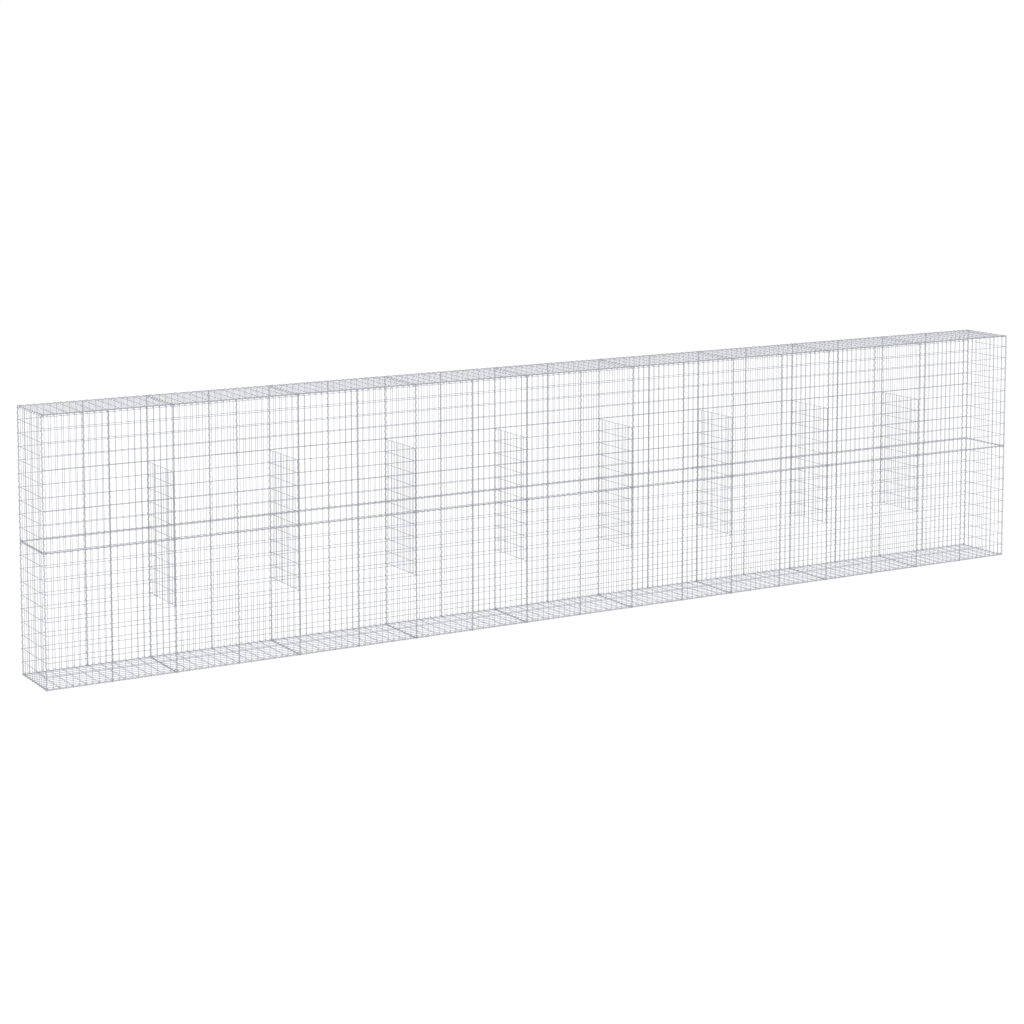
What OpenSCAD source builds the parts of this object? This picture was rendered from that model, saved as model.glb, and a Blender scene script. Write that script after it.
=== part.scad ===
// Gabion wall of welded steel mesh, empty, nine bays long and two levels high.
// Every side, floor, cover and divider is the same kind of flat mesh panel: fine-pitch wires one way
// and coarse-pitch wires the other way in a second layer, with an edge bar all round.
// Panels meet at seams laced by spiral wires, drawn here as plain straight rods as long as the seam.
// X runs along the wall, Y through its depth with the front at -Y, and Z is up.
// The origin is under the middle of the wall.

/* [Wall] */

// Length of one bay along the wall
bay_length = 1000; // [600:50:2000]
// Number of bays in the row
bay_count = 9; // [2:1:12]
// Height of one level of side panels
level_height = 1000; // [500:50:1500]
// Number of side panels one above another
level_count = 2; // [1:1:3]
// Clear depth between the front and the back, one panel wide
clear_depth = 500; // [300:50:1000]

/* [Mesh] */

// Diameter of the mesh wire
wire_d = 4; // [3:0.5:6]
// Spacing of the fine-pitch wires
fine_pitch = 50; // [40:5:100]
// Spacing of the coarse-pitch wires
coarse_pitch = 100; // [50:10:200]
// Clear gap between two panels at a seam
seam_gap = 0.5; // [0.3:0.1:0.8]

/* [Divider] */

// Height of each divider between two bays, centred on the height of the wall
divider_height = 1000; // [500:50:2000]

/* [Spiral] */

// Diameter of the straight rod that stands for each spiral
rod_d = 6; // [4:1:10]
// Clear gap between a rod and the panels it ties
rod_gap = 0.3; // [0.2:0.1:0.5]

/* [Hidden] */

// round wires and rods are true circles
$fn = 24;
// wires that are welded across each other pass this far apart
weld_gap = 0.2;
// the edge bar stands this far proud of the wires on both faces
bar_proud = 0.4;
// thickness of a panel: two layers of wire and the edge bar round them
panel_t = 2 * wire_d + weld_gap + 2 * bar_proud;
// the floor panels lie this far above the feet, so that a spiral passes under their edges
floor_rise = 4;

x_first = -bay_count * bay_length / 2;
wall_height = level_count * level_height;
half_bay = bay_length / 2;
// width of the end, divider, floor and cover panels, which all lie between the front and the back
inner_depth = clear_depth - seam_gap;
y_front = -inner_depth / 2 - seam_gap - panel_t;
divider_base = (wall_height - divider_height) / 2;
// a rod stops this far short of the corner where its seam meets another
rod_inset = rod_d + 2;
// the axis of a rod lies this far off the panel face that it runs along
rod_off = rod_d / 2 + rod_gap;

steel = [0.70, 0.72, 0.73];
steel_dark = [0.60, 0.62, 0.63];
spiral_steel = [0.78, 0.79, 0.80];

function numbered(stem) = [for (i = [1:bay_count]) str(stem, i)];

// number of whole mesh cells along a side at a pitch
function cells(side, pitch) = max(2, round(side / pitch));

// rectangular edge bar lying in X and Y
module edge_bar(x_side, y_side) {
    difference() {
        cube([x_side, y_side, panel_t]);
        translate([wire_d, wire_d, -1])
            cube([x_side - 2 * wire_d, y_side - 2 * wire_d, panel_t + 2]);
    }
}

// parallel wires in the outer layer along Y, spread over x_side; start is where they begin and end
module wires_along_y(x_side, y_side, x_cells, start) {
    step = (x_side - wire_d) / x_cells;
    for (i = [1:x_cells - 1])
        translate([wire_d / 2 + i * step, start, bar_proud + wire_d / 2])
            rotate([-90, 0, 0])
                cylinder(d = wire_d, h = y_side - 2 * start);
}

// parallel wires in the inner layer along X, spread over y_side
module wires_along_x(x_side, y_side, y_cells, start) {
    step = (y_side - wire_d) / y_cells;
    for (i = [1:y_cells - 1])
        translate([start, wire_d / 2 + i * step, panel_t - bar_proud - wire_d / 2])
            rotate([0, 90, 0])
                cylinder(d = wire_d, h = x_side - 2 * start);
}

// one panel lying in X and Y with its outer face on Z = 0, its wires let into the edge bar
module mesh_panel(x_side, y_side, x_cells, y_cells) {
    union() {
        edge_bar(x_side, y_side);
        wires_along_y(x_side, y_side, x_cells, wire_d / 2);
        wires_along_x(x_side, y_side, y_cells, wire_d / 2);
    }
}

// the same panel with every wire and edge bar a separate length, so that it stays open to small stone
module open_panel(x_side, y_side, x_cells, y_cells) {
    end = wire_d + weld_gap;
    for (y = [0, y_side - wire_d])
        translate([0, y, 0])
            cube([x_side, wire_d, panel_t]);
    for (x = [0, x_side - wire_d])
        translate([x, end, 0])
            cube([wire_d, y_side - 2 * end, panel_t]);
    wires_along_y(x_side, y_side, x_cells, end);
    wires_along_x(x_side, y_side, y_cells, end);
}

// panel stood up along the wall: width along X, height along Z, outer face on Y = 0
module side_panel() {
    rotate([90, 0, 0])
        mirror([0, 0, 1])
            mesh_panel(half_bay - seam_gap, level_height - seam_gap,
                       cells(half_bay, fine_pitch), cells(level_height, coarse_pitch));
}

// panel stood up across the wall: width along Y, height along Z, outer face on X = 0
module cross_panel(height) {
    rotate([90, 0, 90])
        mesh_panel(inner_depth, height,
                   cells(clear_depth, fine_pitch), cells(height, coarse_pitch));
}

// bottom of the panels of a level, with the seam gap taken above the first one
function level_z(level) = level * level_height + (level == 0 ? 0 : seam_gap);

// front panels of bay i: two side by side on every level
module front_bay(i) {
    color(steel)
        for (half = [0, 1], level = [0:level_count - 1])
            translate([x_first + (i - 1) * bay_length + half * half_bay + seam_gap / 2,
                       y_front, level_z(level)])
                side_panel();
}

// back panels of bay i: the front panels of the bay opposite, turned half round
module back_bay(i) {
    rotate([0, 0, 180])
        front_bay(bay_count + 1 - i);
}

// left end: one panel on every level, between the front and the back panels
module left_end() {
    color(steel)
        for (level = [0:level_count - 1])
            translate([x_first, -inner_depth / 2, level_z(level)])
                cross_panel(level_height - seam_gap);
}

module right_end() {
    rotate([0, 0, 180])
        left_end();
}

// one divider on every boundary between two bays
module dividers() {
    color(steel_dark)
        for (i = [1:bay_count - 1])
            translate([x_first + i * bay_length - panel_t / 2, -inner_depth / 2, divider_base])
                cross_panel(divider_height);
}

// floor and cover panels span a bay; those of the end bays stop short of the end panels
function lid_left(i) = i == 1 ? x_first + panel_t + seam_gap
                              : x_first + (i - 1) * bay_length + seam_gap / 2;
function lid_right(i) = i == bay_count ? -lid_left(1)
                                       : x_first + i * bay_length - seam_gap / 2;

// floor of bay i, outer face down; fine wires run along the wall
module floor_bay(i) {
    color(steel)
        translate([lid_left(i), -inner_depth / 2, floor_rise])
            mesh_panel(lid_right(i) - lid_left(i), inner_depth,
                       cells(bay_length, coarse_pitch), cells(clear_depth, fine_pitch));
}

// cover of bay i, outer face up and flush with the top
module cover_bay(i) {
    color(steel)
        translate([lid_left(i), -inner_depth / 2, wall_height])
            mirror([0, 0, 1])
                open_panel(lid_right(i) - lid_left(i), inner_depth,
                           cells(bay_length, coarse_pitch), cells(clear_depth, fine_pitch));
}

// height of level seam k; the rods at the foot and the top edge stay inside the height
function seam_z(k) = min(max(k * level_height, rod_d / 2), wall_height - rod_d / 2);

// rods on the outside of the front: the foot, every level seam and the top edge
module front_level_spirals() {
    color(spiral_steel)
        for (i = [1:bay_count], k = [0:level_count])
            translate([x_first + (i - 1) * bay_length + rod_inset, y_front - rod_off, seam_z(k)])
                rotate([0, 90, 0])
                    cylinder(d = rod_d, h = bay_length - 2 * rod_inset);
}

module back_level_spirals() {
    rotate([0, 0, 180])
        front_level_spirals();
}

// x of upright seam k, counted in half bays; the two corner rods stay inside the length
function upright_x(k) = min(max(x_first + k * half_bay, x_first + rod_d / 2),
                            -x_first - rod_d / 2);

// rods up every front seam, one for each level
module front_upright_spirals() {
    color(spiral_steel)
        for (k = [0:2 * bay_count], level = [0:level_count - 1])
            translate([upright_x(k), y_front - rod_off, level * level_height + rod_inset])
                cylinder(d = rod_d, h = level_height - 2 * rod_inset);
}

module back_upright_spirals() {
    rotate([0, 0, 180])
        front_upright_spirals();
}

// rod along Y at height z, clear of the front and back panels
module cross_rod(x, z) {
    color(spiral_steel)
        translate([x, -inner_depth / 2 + rod_inset, z])
            rotate([-90, 0, 0])
                cylinder(d = rod_d, h = inner_depth - 2 * rod_inset);
}

// x of cross seam i, from 0 at the left end to bay_count at the right end
function cross_x(i) = i == 0 ? x_first + panel_t + rod_off
                    : i == bay_count ? -cross_x(0)
                    : x_first + i * bay_length;

// rods on the floor seams, just above the floor panels
module floor_spirals() {
    for (i = [0:bay_count])
        cross_rod(cross_x(i), floor_rise + panel_t + rod_off);
}

// rods on the cover seams, just below the cover panels
module cover_spirals() {
    for (i = [0:bay_count])
        cross_rod(cross_x(i), wall_height - panel_t - rod_off);
}

// rods on the level seams of the two ends, inside the end panels
module end_waist_spirals() {
    if (level_count > 1)
        for (i = [0, bay_count], level = [1:level_count - 1])
            cross_rod(cross_x(i), seam_z(level));
}

for (i = [1:bay_count]) {
    front_bay(i);
    back_bay(i);
    floor_bay(i);
    cover_bay(i);
}
left_end();
right_end();
dividers();
front_upright_spirals();
back_upright_spirals();
front_level_spirals();
back_level_spirals();
floor_spirals();
cover_spirals();
end_waist_spirals();
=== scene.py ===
import math

import bpy
import numpy as np
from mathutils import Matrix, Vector


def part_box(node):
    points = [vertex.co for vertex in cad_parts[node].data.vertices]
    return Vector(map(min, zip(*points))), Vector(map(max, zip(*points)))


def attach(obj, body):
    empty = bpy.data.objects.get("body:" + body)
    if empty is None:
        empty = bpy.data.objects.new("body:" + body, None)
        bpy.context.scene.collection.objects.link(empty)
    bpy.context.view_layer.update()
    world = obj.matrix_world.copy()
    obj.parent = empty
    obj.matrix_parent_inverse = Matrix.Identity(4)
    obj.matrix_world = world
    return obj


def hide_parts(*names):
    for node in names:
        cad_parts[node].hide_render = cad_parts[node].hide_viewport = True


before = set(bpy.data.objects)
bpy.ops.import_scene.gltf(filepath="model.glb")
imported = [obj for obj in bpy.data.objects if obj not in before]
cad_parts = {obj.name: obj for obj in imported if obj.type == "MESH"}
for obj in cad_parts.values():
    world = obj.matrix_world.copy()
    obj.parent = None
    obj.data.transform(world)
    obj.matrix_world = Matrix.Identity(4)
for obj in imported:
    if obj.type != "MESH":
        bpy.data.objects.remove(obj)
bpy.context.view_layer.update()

# ---------------------------------------------------------------------------------------------
# Front and back panels. Each is a sheet of resistance-welded mesh, 0.5 m by 1 m: 4 mm steel wires
# laid in two layers, pressed together and fused at every crossing, then hot-dip galvanised.
# Four of them close the front of a bay, two side by side on each of the two levels.
# ---------------------------------------------------------------------------------------------

WIRE_R = 0.002            # radius of the mesh wire
EDGE_T = 0.009            # thickness of a panel in the solids, edge bar included
PROUD = 0.0004            # how far that edge bar stands proud of the wires
SET_DOWN = 0.00025        # how far each layer is pressed into the other at the welds
FINE = 0.05               # spacing of the fine-pitch wires
COARSE = 0.10             # spacing of the coarse-pitch wires
SEAM = 0.0005             # gap between neighbouring panels
FOOT_LIFT = 0.0038        # the lowest wire of a panel on the ground is welded this much higher up
WIRE_SIDES = 8
BEAD_R = 0.0030           # half the width of a weld bead
BEAD_H = 0.0013           # half its thickness, through the panel
BEAD_SIDES = 6
ON_WIRE, ON_WELD = 0, 1   # material slots of a panel


class Metalwork:
    """Gathers tubes and weld beads, and makes one mesh object of them."""

    def __init__(self):
        self.points = []
        self.faces = []
        self.kinds = []
        self.rims = []
        self.count = 0

    def tube(self, path, radius, sides, side_way):
        """Round wire along a path of points; side_way is one direction that isn't along the path, or
        one for each point, and the first corner of the wire's outline faces it."""
        path = np.asarray(path, float)
        along = np.gradient(path, axis=0)
        along /= np.linalg.norm(along, axis=1)[:, None]
        across = np.broadcast_to(np.asarray(side_way, float), path.shape)
        across = across - along * (across * along).sum(1)[:, None]
        across /= np.linalg.norm(across, axis=1)[:, None]
        over = np.cross(along, across)
        turn = np.arange(sides) * 2 * math.pi / sides
        rings = (path[:, None] + radius * (across[:, None] * np.cos(turn)[:, None]
                                           + over[:, None] * np.sin(turn)[:, None]))
        start = self.count + sides * np.arange(len(path))
        here = np.arange(sides)
        following = (here + 1) % sides
        for low, high in zip(start[:-1], start[1:]):
            self.faces += np.stack([low + here, low + following, high + following, high + here], 1).tolist()
        self.faces += [(start[0] + here[::-1]).tolist(), (start[-1] + here).tolist()]
        self.kinds += [ON_WIRE] * (sides * (len(path) - 1) + 2)
        self.rims += [start[0], start[-1]]
        self.points.append(rings.reshape(-1, 3))
        self.count += len(path) * sides

    def beads(self, centres, flat_way):
        """Small flattened beads of melted metal, one at each weld."""
        centres = np.asarray(centres, float)
        flat_way = np.asarray(flat_way, float)
        first = np.roll(flat_way, 1)
        second = np.cross(flat_way, first)
        here = np.arange(BEAD_SIDES)
        following = (here + 1) % BEAD_SIDES
        turn = (here + 0.25) * 2 * math.pi / BEAD_SIDES
        rim = BEAD_R * (np.cos(turn)[:, None] * first + np.sin(turn)[:, None] * second)
        shape = np.vstack([rim, BEAD_H * flat_way, -BEAD_H * flat_way])
        tips = np.full_like(here, BEAD_SIDES)
        corners = np.vstack([np.stack([here, following, tips], 1),
                             np.stack([following, here, tips + 1], 1)])
        starts = self.count + len(shape) * np.arange(len(centres))
        self.points.append((centres[:, None] + shape).reshape(-1, 3))
        self.faces += (starts[:, None, None] + corners).reshape(-1, 3).tolist()
        self.kinds += [ON_WELD] * (len(corners) * len(centres))
        self.count += len(shape) * len(centres)

    def piece(self, name, materials, sides):
        """Makes the object, smooth along its wires and crisp at their cut ends."""
        mesh = bpy.data.meshes.new(name)
        mesh.from_pydata(np.vstack(self.points).tolist(), [], self.faces)
        for material in materials:
            mesh.materials.append(material)
        mesh.polygons.foreach_set("material_index", self.kinds)
        mesh.polygons.foreach_set("use_smooth", [True] * len(self.faces))
        ends = np.zeros(len(mesh.edges) * 2, int)
        mesh.edges.foreach_get("vertices", ends)
        ends = ends.reshape(-1, 2)
        ring_of = np.full(self.count, -1)
        for start in self.rims:
            ring_of[start:start + sides] = start
        cut = (ring_of[ends[:, 0]] >= 0) & (ring_of[ends[:, 0]] == ring_of[ends[:, 1]])
        mesh.attributes.new("sharp_edge", "BOOLEAN", "EDGE").data.foreach_set("value", cut)
        mesh.validate()
        item = bpy.data.objects.new(name, mesh)
        bpy.context.scene.collection.objects.link(item)
        return item


def linear(hex_colour):
    """sRGB hex colour as the linear RGBA that shaders take."""
    parts = [int(hex_colour[i:i + 2], 16) / 255 for i in (1, 3, 5)]
    return [p / 12.92 if p <= 0.04045 else ((p + 0.055) / 1.055) ** 2.4 for p in parts] + [1.0]


def node(material, kind, settings=None, links=None):
    """Adds a shader node, sets its properties and sockets, and links other sockets to its inputs."""
    made = material.node_tree.nodes.new(kind)
    for key, value in (settings or {}).items():
        if isinstance(key, str) and hasattr(made, key):
            setattr(made, key, value)
        else:
            made.inputs[key].default_value = value
    for key, source in (links or {}).items():
        material.node_tree.links.new(source, made.inputs[key])
    return made


LUMP = 0.004              # length of the lumps that the dip leaves on a wire


def galvanised(name, dull, bright, rough, spangle, patch):
    """Hot-dip galvanised steel wire: a zinc skin, satin where fresh and chalky where it has aged. It
    gives the eye a cool mid-grey metal whose soft highlights break up from crystal to crystal.
    spangle and patch are the sizes of the crystals and of the aged stretches, in metres."""
    made = bpy.data.materials.new(name)
    made.use_nodes = True
    made.node_tree.nodes.clear()
    place = node(made, "ShaderNodeTexCoord")
    # crystals of zinc on the wire
    crystals = node(made, "ShaderNodeTexVoronoi", {"Scale": 1 / spangle, "Randomness": 1.0},
                    {"Vector": place.outputs["Object"]})
    # slow drift of age along the wires
    ageing = node(made, "ShaderNodeTexNoise", {"Scale": 1 / patch, "Detail": 4.0, "Roughness": 0.6},
                  {"Vector": place.outputs["Object"]})
    # the crystals have about a third of the tint, and age has the rest
    blend = node(made, "ShaderNodeMix", {"data_type": "FLOAT", 0: 0.35},
                 {2: ageing.outputs["Fac"], 3: crystals.outputs["Color"]})
    tint = node(made, "ShaderNodeValToRGB", None, {"Fac": blend.outputs[0]})
    tint.color_ramp.elements[0].position = 0.32
    tint.color_ramp.elements[0].color = linear(dull)
    tint.color_ramp.elements[1].position = 0.72
    tint.color_ramp.elements[1].color = linear(bright)
    satin = node(made, "ShaderNodeMapRange", {"From Min": 0.3, "From Max": 0.7,
                                              "To Min": rough - 0.10, "To Max": rough + 0.12},
                 {"Value": ageing.outputs["Fac"]})
    # the wire is a little lumpy where the zinc ran off it
    lumps = node(made, "ShaderNodeTexNoise", {"Scale": 1 / LUMP, "Detail": 3.0},
                 {"Vector": place.outputs["Object"]})
    relief = node(made, "ShaderNodeBump", {"Strength": 0.25, "Distance": 0.0003},
                  {"Height": lumps.outputs["Fac"]})
    steel = node(made, "ShaderNodeBsdfPrincipled", {"Metallic": 0.9},
                 {"Base Color": tint.outputs["Color"], "Roughness": satin.outputs["Result"],
                  "Normal": relief.outputs["Normal"]})
    node(made, "ShaderNodeOutputMaterial", None, {"Surface": steel.outputs["BSDF"]})
    return made


# a soft, slightly blue grey with lighter and darker stretches, so that wires don't look printed
mesh_zinc = galvanised("galvanised_mesh_wire", "#A6A7AF", "#C4C5CD", 0.42, spangle=0.005, patch=0.28)
# duller and darker than the wire, so that each crossing reads as a small dot
weld_zinc = galvanised("zinc_over_weld", "#9798A0", "#B1B2BA", 0.60, spangle=0.003, patch=0.12)


def welded_panel(work, corner, first, second, inward, size, cells, lift=0.0):
    """Mesh sheet with its lower left outer corner at corner. The outer wires run along second and are
    spread along first, and the inner wires the other way. lift raises the lowest inner wire."""
    corner, first, second, inward = (np.asarray(v, float) for v in (corner, first, second, inward))
    outer = corner + inward * (PROUD + WIRE_R + SET_DOWN)
    inner = corner + inward * (EDGE_T - PROUD - WIRE_R - SET_DOWN)
    along_first = np.linspace(WIRE_R, size[0] - WIRE_R, cells[0] + 1)
    along_second = np.linspace(WIRE_R, size[1] - WIRE_R, cells[1] + 1)
    along_second[0] += lift
    for step in along_first:
        foot = outer + first * step
        work.tube([foot, foot + second * size[1]], WIRE_R, WIRE_SIDES, first)
    for step in along_second:
        foot = inner + second * step
        work.tube([foot, foot + first * size[0]], WIRE_R, WIRE_SIDES, second)
    middle = (outer + inner) / 2
    welds = [middle + first * a + second * b for a in along_first for b in along_second]
    work.beads(welds, inward)


ALONG, DEEP, UP = np.eye(3)
boxes = {name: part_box(name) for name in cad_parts}
low, high = (np.array(corner) for corner in boxes["front_bay_1"])
bay = high[0] - low[0] + SEAM
front_y = low[1]
top = high[2]
level = top / 2
bay_count = sum(name.startswith("front_bay_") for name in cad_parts)
left_x = low[0] - SEAM / 2
half = bay / 2

for number in range(1, bay_count + 1):
    for side, turn in (("front", 1), ("back", -1)):
        work = Metalwork()
        box_low = np.array(boxes[f"{side}_bay_{number}"][0])
        for column in (0, 1):
            for row in (0, 1):
                x = box_low[0] + column * half
                z = row * (level + SEAM)
                welded_panel(work, [x, front_y * turn, z], ALONG, UP, DEEP * turn,
                             (half - SEAM, level - SEAM), (round(half / FINE), round(level / COARSE)),
                             0.0 if row else FOOT_LIFT)
        piece = work.piece(f"{side}_mesh_{number}", [mesh_zinc, weld_zinc], WIRE_SIDES)
        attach(piece, "root")
        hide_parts(f"{side}_bay_{number}")

# ---------------------------------------------------------------------------------------------
# End panels and dividers: the same mesh sheets, set across the wall. Two close each end, and one
# stands half way up at every boundary between bays, to keep front and back from bulging apart.
# ---------------------------------------------------------------------------------------------

inner_depth = boxes["left_end"][1][1] - boxes["left_end"][0][1]
for name, side, way in (("left_end", 0, ALONG), ("right_end", 1, -ALONG)):
    outer_x = boxes[name][side][0]
    work = Metalwork()
    for row in (0, 1):
        welded_panel(work, [outer_x, -inner_depth / 2, row * (level + SEAM)], DEEP, UP, way,
                     (inner_depth, level - SEAM), (round(inner_depth / FINE), round(level / COARSE)),
                     0.0 if row else FOOT_LIFT)
    piece = work.piece(f"{name}_mesh", [mesh_zinc, weld_zinc], WIRE_SIDES)
    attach(piece, "root")
    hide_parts(name)

box_low, box_high = (np.array(c) for c in boxes["dividers"])
work = Metalwork()
for boundary in range(1, bay_count):
    x = left_x + boundary * bay - EDGE_T / 2
    welded_panel(work, [x, box_low[1], box_low[2]], DEEP, UP, ALONG,
                 (inner_depth, box_high[2] - box_low[2]),
                 (round(inner_depth / FINE), round((box_high[2] - box_low[2]) / COARSE)))
piece = work.piece("divider_mesh", [mesh_zinc, weld_zinc], WIRE_SIDES)
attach(piece, "root")
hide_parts("dividers")

# ---------------------------------------------------------------------------------------------
# Floors and covers: one sheet of the same mesh lies under each bay and one closes it on top, its
# long wires along the wall. Both fit between the front and the back panels.
# ---------------------------------------------------------------------------------------------

for number in range(1, bay_count + 1):
    for kind in ("floor", "cover"):
        box_low, box_high = (np.array(c) for c in boxes[f"{kind}_{number}"])
        work = Metalwork()
        outer_z = box_low[2] if kind == "floor" else box_high[2]
        way = UP if kind == "floor" else -UP
        welded_panel(work, [box_low[0], box_low[1], outer_z], ALONG, DEEP, way,
                     tuple((box_high - box_low)[:2]), (round(bay / COARSE), round(inner_depth / FINE)))
        piece = work.piece(f"{kind}_mesh_{number}", [mesh_zinc, weld_zinc], WIRE_SIDES)
        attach(piece, "root")
        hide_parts(f"{kind}_{number}")

# ---------------------------------------------------------------------------------------------
# Spirals: spring wire 3 mm thick, coiled to 22 mm outside with one turn to each 50 mm cell. They
# are wound through both panels along every seam, and each end is bent back into a closed turn.
# ---------------------------------------------------------------------------------------------

SPIRAL_WIRE_R = 0.0015    # radius of the spring wire
COIL_R = 0.0094           # radius of the coil, to the middle of its wire
COIL_TURN = 16            # points in one turn
COIL_SIDES = 6
STEP_ASIDE = 1.1          # closed turns step aside by this many wire radii, so as not to meet themselves
END_CLEAR = 0.016         # a spiral starts and stops this far from the corner of its seam
CLOSED = 0.75             # turns bent flat at each end


def spiral(work, start, along, facing, length, pitch, lead=0.0):
    """Right-handed coil about the line from start; facing is where a turn stands at each cell's wire,
    and lead turns the whole coil on, in degrees."""
    start, along, facing = (np.asarray(v, float) for v in (start, along, facing))
    square = np.cross(along, facing)
    run = length - 2 * END_CLEAR
    turns = run / pitch
    steps = round((turns + 2 * CLOSED) * COIL_TURN)
    wound = np.linspace(-CLOSED, turns + CLOSED, steps + 1)
    travel = END_CLEAR + np.clip(wound, 0, turns) * pitch
    past_end = np.minimum(wound, 0) + np.maximum(wound - turns, 0)
    travel += STEP_ASIDE * SPIRAL_WIRE_R * past_end / CLOSED
    angle = 2 * math.pi * (END_CLEAR / pitch + wound) + math.radians(lead)
    out = facing * np.cos(angle)[:, None] + square * np.sin(angle)[:, None]
    work.tube(start + along * travel[:, None] + COIL_R * out, SPIRAL_WIRE_R, COIL_SIDES, out)


# a little brighter and smoother than the mesh, so that the seams glint along their turns
spiral_zinc = galvanised("galvanised_spiral_wire", "#AFB0B8", "#CBCCD4", 0.40, spangle=0.004, patch=0.2)

# how far a coil is turned on, in degrees, so that it passes between the wires that cross its seam
FOOT_TURN, TOP_TURN, RIGHT_CORNER_TURN = -120.0, 132.0, 90.0
coil_out = COIL_R + SPIRAL_WIRE_R
seam_y = front_y + 0.0055                 # coil axis of a seam in the plane of the front
boundary_y = front_y + 0.0065             # a little further in where a divider is laced in too
corner_x, corner_y = 0.0023, front_y + 0.007    # coil axis at a corner, in from the end and from the front
edge_y = front_y + 0.008                  # coil axis along the foot and the top edge
edge_x = 0.0087                           # the same for floor and cover at the ends, in from the end
top_axis = top - 0.0055                   # height of the coil axes along the top edges
half_turn = np.array([-1, -1, 1])         # turns a front point or direction round to the back

uprights = {"front": Metalwork(), "back": Metalwork()}
levels = {"front": Metalwork(), "back": Metalwork()}
for side, about in (("front", np.ones(3)), ("back", half_turn)):
    for column in range(2 * bay_count + 1):
        for row in (0, 1):
            x = left_x + column * half
            y = seam_y if column % 2 else boundary_y
            lead = 0.0
            if column == 0:
                x, y = x + corner_x, corner_y
            if column == 2 * bay_count:
                x, y, lead = x - corner_x, corner_y, RIGHT_CORNER_TURN
            spiral(uprights[side], np.array([x, y, row * level]) * about, UP, -DEEP * about,
                   level, FINE, lead)
    for number in range(bay_count):
        x = left_x + number * bay
        # foot, waist and top edge
        for y, z, lead in ((edge_y, coil_out, FOOT_TURN), (seam_y, level, 0.0), (edge_y, top_axis, TOP_TURN)):
            spiral(levels[side], np.array([x, y, z]) * about, ALONG * about, -DEEP * about,
                   bay, FINE, lead)

for side in ("front", "back"):
    for word, work in (("upright", uprights[side]), ("level", levels[side])):
        piece = work.piece(f"{side}_{word}_coils", [spiral_zinc], COIL_SIDES)
        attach(piece, "root")
        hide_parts(f"{side}_{word}_spirals")

# The same spirals lace floor to floor, cover to cover and the end panels to all they meet.
cell = (inner_depth - 2 * WIRE_R) / round(inner_depth / FINE)
first_wire = -inner_depth / 2 + WIRE_R
across = {"floor": Metalwork(), "cover": Metalwork(), "end_waist": Metalwork()}
for boundary in range(bay_count + 1):
    x = left_x + boundary * bay
    if boundary == 0:
        x += edge_x
    if boundary == bay_count:
        x -= edge_x
    spiral(across["floor"], [x, first_wire, coil_out], DEEP, -UP, inner_depth, cell)
    spiral(across["cover"], [x, first_wire, top_axis], DEEP, UP, inner_depth, cell)
for way in (1, -1):
    spiral(across["end_waist"], [way * (left_x + seam_y - front_y), first_wire, level], DEEP, -ALONG * way,
           inner_depth, cell)

for word, work in across.items():
    piece = work.piece(f"{word}_coils", [spiral_zinc], COIL_SIDES)
    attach(piece, "root")
    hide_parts(f"{word}_spirals")

# ---------------------------------------------------------------------------------------------
# Studio: a matt floor that runs out of sight, an even white sky and one large soft lamp overhead.
# The floor glows a little, so that it meets the sky unseen and keeps only a faint shadow.
# ---------------------------------------------------------------------------------------------

reach = 400.0
ground = bpy.data.meshes.new("studio_floor")
ground.from_pydata([(-reach, -reach, 0), (reach, -reach, 0), (reach, reach, 0), (-reach, reach, 0)],
                   [], [(0, 1, 2, 3)])
floor_object = bpy.data.objects.new("studio_floor", ground)
bpy.context.scene.collection.objects.link(floor_object)
# a white that has no edge and no shine, against which thin wires keep their own grey
paint = bpy.data.materials.new("matt_white_paint")
paint.use_nodes = True
paint.node_tree.nodes.clear()
matt = node(paint, "ShaderNodeBsdfPrincipled",
            {"Base Color": linear("#808080"), "Roughness": 0.9,
             "Emission Color": linear("#FFFFFF"), "Emission Strength": 0.80})
node(paint, "ShaderNodeOutputMaterial", None, {"Surface": matt.outputs["BSDF"]})
ground.materials.append(paint)

sky = bpy.data.worlds.new("white_studio")
bpy.context.scene.world = sky
sky.use_nodes = True
sky.node_tree.nodes["Background"].inputs["Color"].default_value = linear("#FFFFFF")
sky.node_tree.nodes["Background"].inputs["Strength"].default_value = 1.02

lamp = bpy.data.lights.new("soft_lamp", "AREA")
lamp.shape = "RECTANGLE"
lamp.size = 14.0
lamp.size_y = 8.0
lamp.energy = 250.0
lamp_object = bpy.data.objects.new("soft_lamp", lamp)
lamp_object.location = (0.0, 2.0, 11.0)
lamp_object.rotation_euler = (Vector((0, 0, 1)) - lamp_object.location).to_track_quat("-Z", "Y").to_euler()
bpy.context.scene.collection.objects.link(lamp_object)

# ---------------------------------------------------------------------------------------------
# Camera: well above the wall and out beyond its left end, looking along it and a little down.
# ---------------------------------------------------------------------------------------------

camera = bpy.data.cameras.new("camera")
camera.sensor_width = 36.0
camera.lens = 84.18
camera.shift_y = -0.22
camera.clip_end = 1000.0
camera_object = bpy.data.objects.new("camera", camera)
camera_object.location = (-10.116, -16.356, 4.632)
camera_object.rotation_euler = (math.radians(90 - 5.88), 0, math.radians(-30.48))
bpy.context.scene.collection.objects.link(camera_object)
bpy.context.scene.camera = camera_object
bpy.context.scene.view_settings.view_transform = "Standard"
